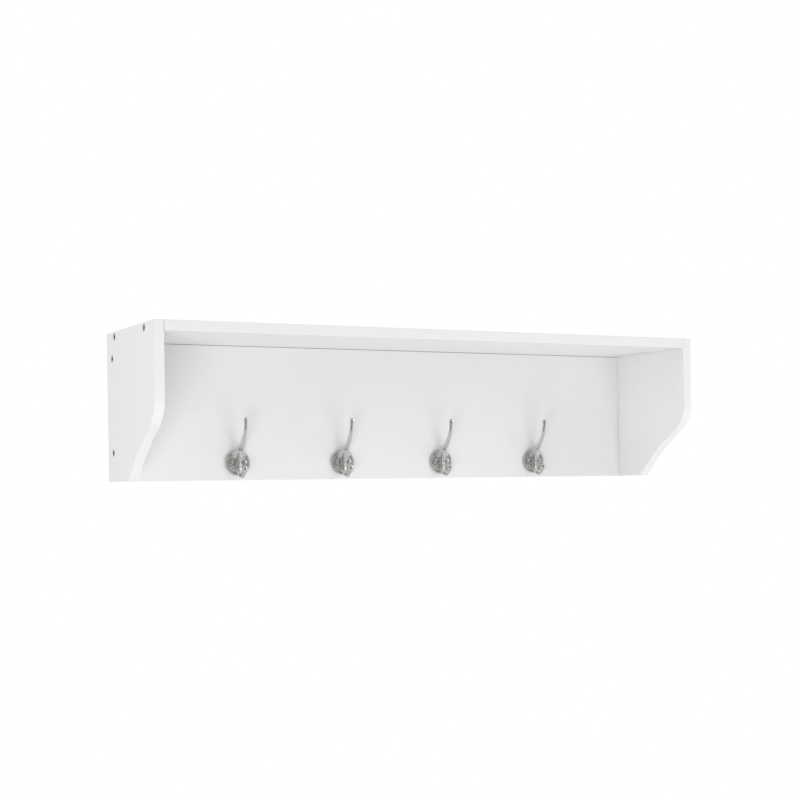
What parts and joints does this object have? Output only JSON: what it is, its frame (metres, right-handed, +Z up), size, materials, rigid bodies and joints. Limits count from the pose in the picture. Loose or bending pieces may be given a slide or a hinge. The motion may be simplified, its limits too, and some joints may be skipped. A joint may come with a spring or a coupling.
{
  "type": "wall hook rack",
  "caption": "Wall hook rack with a shelf, two curved end panels, an inset back panel of double coat hooks and a hidden bevelled hanging rail.",
  "frame": {"origin": "middle of the wall rail's rear face, on the wall plane", "axes": "+X along the rack's width, +Y into the wall (so -Y faces the room), +Z up"},
  "size_m": [0.914, 0.216, 0.22],
  "materials": {
    "white_laminate": "particle board faced and edged in smooth matt white melamine",
    "bare_board": "sawn and sanded bare plywood, unpainted",
    "beech_dowel": "fluted beech, bare",
    "satin_nickel": "bright satin nickel plate over a zinc die casting, darker in the recesses",
    "zinc_steel": "bright zinc plated steel"
  },
  "bodies": {
    "root": {"left_end_panel": "white_laminate", "right_end_panel": "white_laminate", "top_shelf": "white_laminate", "back_panel": "white_laminate", "wall_rail": "bare_board", "shelf_rail": "bare_board", "hook_1_casting": "satin_nickel", "hook_1_screw_left": "satin_nickel", "hook_1_screw_right": "satin_nickel", "hook_2_casting": "satin_nickel", "hook_2_screw_left": "satin_nickel", "hook_2_screw_right": "satin_nickel", "hook_3_casting": "satin_nickel", "hook_3_screw_left": "satin_nickel", "hook_3_screw_right": "satin_nickel", "hook_4_casting": "satin_nickel", "hook_4_screw_left": "satin_nickel", "hook_4_screw_right": "satin_nickel", "left_shelf_screw_front": "zinc_steel", "left_shelf_screw_rear": "zinc_steel", "left_panel_screw_upper": "zinc_steel", "left_panel_screw_lower": "zinc_steel", "left_shelf_dowel": "beech_dowel", "left_panel_dowel": "beech_dowel", "right_shelf_screw_front": "zinc_steel", "right_shelf_screw_rear": "zinc_steel", "right_panel_screw_upper": "zinc_steel", "right_panel_screw_lower": "zinc_steel", "right_shelf_dowel": "beech_dowel", "right_panel_dowel": "beech_dowel", "top_dowel_1": "beech_dowel", "top_dowel_2": "beech_dowel", "top_dowel_3": "beech_dowel", "rail_screw_1": "zinc_steel", "rail_screw_2": "zinc_steel", "rail_screw_3": "zinc_steel", "rail_screw_4": "zinc_steel"}
  },
  "joints": []
}
